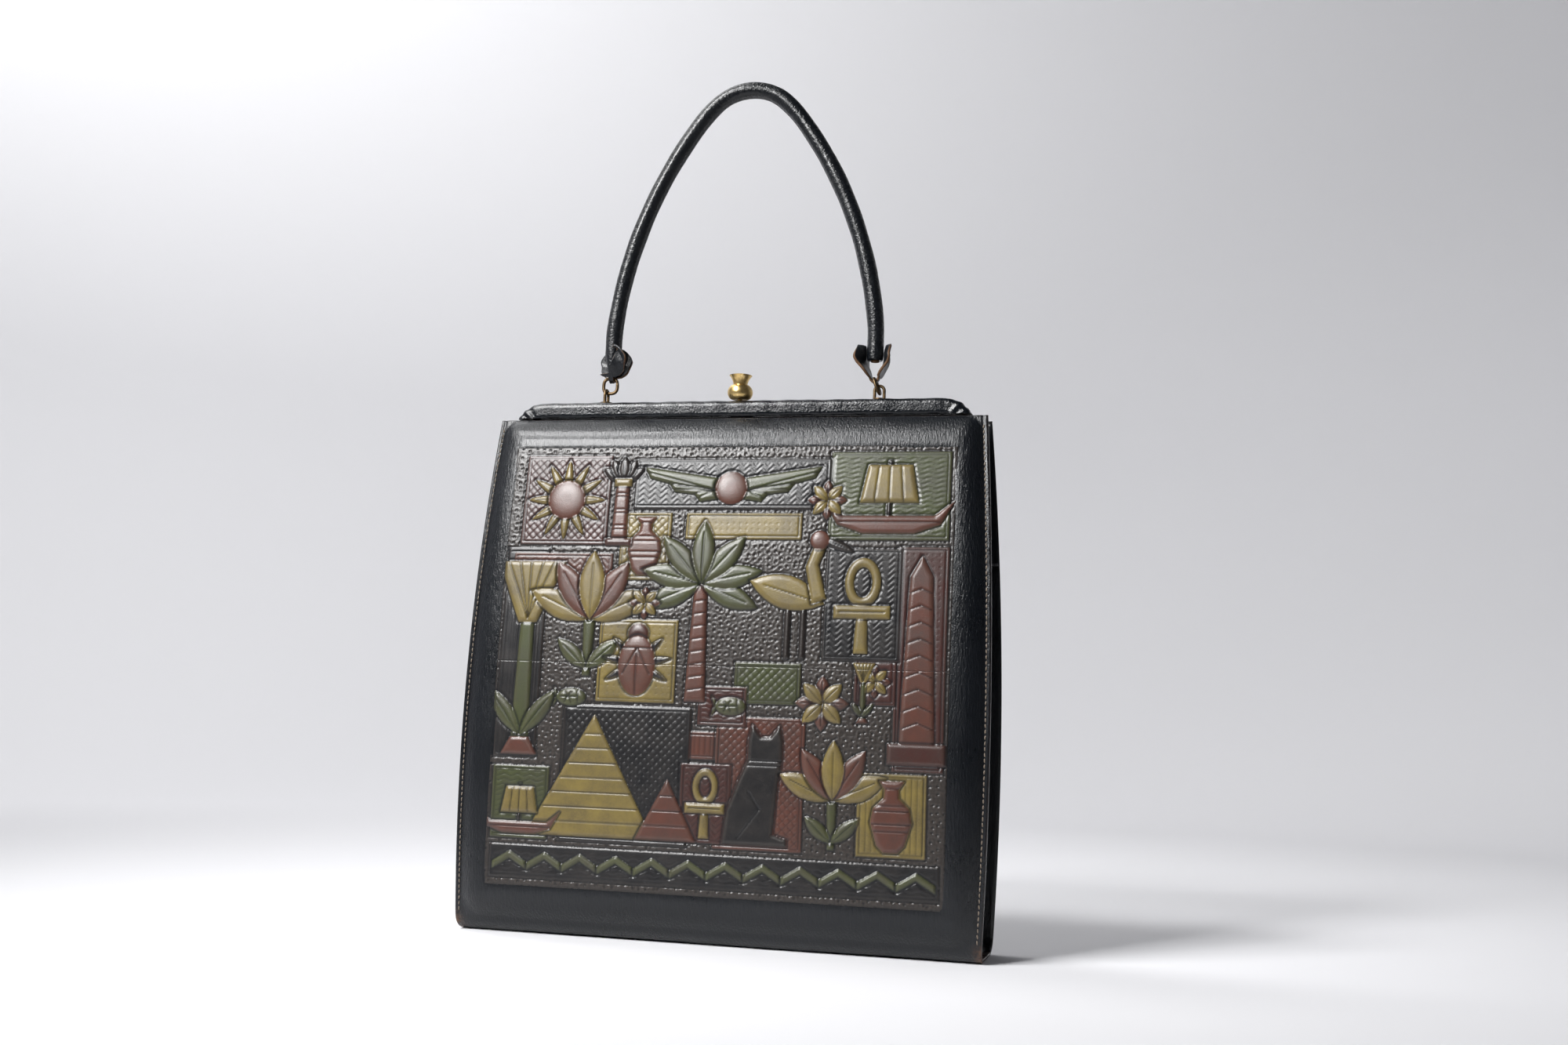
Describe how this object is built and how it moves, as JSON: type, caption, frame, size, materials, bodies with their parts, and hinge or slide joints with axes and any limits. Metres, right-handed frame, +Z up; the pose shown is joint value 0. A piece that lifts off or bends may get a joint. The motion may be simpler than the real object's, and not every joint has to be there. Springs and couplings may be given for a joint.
{
  "type": "frame handbag",
  "caption": "Slim leather frame handbag with a cushioned, embossed front, a hinged purse frame with a brass knob clasp and a rolled top handle on wire links.",
  "frame": {"origin": "on the base, under the middle of the handle", "axes": "+X to the right as seen from the embossed front, +Y from the front to the back, +Z up to the handle"},
  "size_m": [0.2192, 0.0438, 0.3607],
  "materials": {
    "tooled_leather": "hand-tinted embossed leather with a black band round it",
    "black_leather": "black ribbed leather, half gloss",
    "wadding": "cotton wadding",
    "card": "pressed card",
    "lining_cloth": "woven cotton",
    "steel": "plain sheet steel",
    "aged_brass": "polished and aged",
    "dark_brass": "dark antique",
    "core_cord": "brown cord"
  },
  "bodies": {
    "bag": {"front_panel": "tooled_leather", "back_panel": "black_leather", "front_padding": "wadding", "front_board": "card", "back_board": "card", "base_board": "card", "lining": "lining_cloth", "left_gusset": "black_leather", "right_gusset": "black_leather"},
    "front_half": {"front_frame": "steel", "front_frame_cover": "black_leather", "left_hinge_pin": "steel", "right_hinge_pin": "steel", "left_eyelet": "dark_brass", "right_eyelet": "dark_brass", "left_eyelet_washer": "steel", "right_eyelet_washer": "steel", "catch_pin": "steel", "catch_spring": "steel"},
    "back_half": {"back_frame": "steel", "back_frame_cover": "black_leather", "keeper": "steel"},
    "clasp": {"clasp_knob": "aged_brass", "catch_lever": "steel"},
    "handle": {"handle_cover": "black_leather", "handle_core": "core_cord", "left_handle_tab": "black_leather", "right_handle_tab": "black_leather", "left_link": "dark_brass", "right_link": "dark_brass"}
  },
  "joints": [
    {"name": "front_open", "type": "hinge", "parent": "bag", "child": "front_half", "pos_m": [0, 0.00245, 0.159], "axis": [1, 0, 0], "range_deg": [0, 18], "deforming": ["front_panel", "front_padding", "front_board", "left_gusset", "right_gusset", "lining"]},
    {"name": "back_open", "type": "hinge", "parent": "bag", "child": "back_half", "pos_m": [0, 0.00245, 0.159], "axis": [1, 0, 0], "range_deg": [-18, 0], "deforming": ["back_panel", "back_board", "left_gusset", "right_gusset", "lining"]},
    {"name": "handle_swing", "type": "hinge", "parent": "front_half", "child": "handle", "pos_m": [0, 0, 0.2254], "axis": [1, 0, 0], "range_deg": [-80, 85]},
    {"name": "clasp_tip", "type": "hinge", "parent": "front_half", "child": "clasp", "pos_m": [0, 0, 0.2172], "axis": [0, 1, 0], "range_deg": [0, 10], "stiffness_Nm_per_rad": 0.15, "deforming": ["catch_spring"]}
  ],
  "couplings": [
    {"joint": "back_open", "follows": "front_open", "ratio": -1}
  ]
}
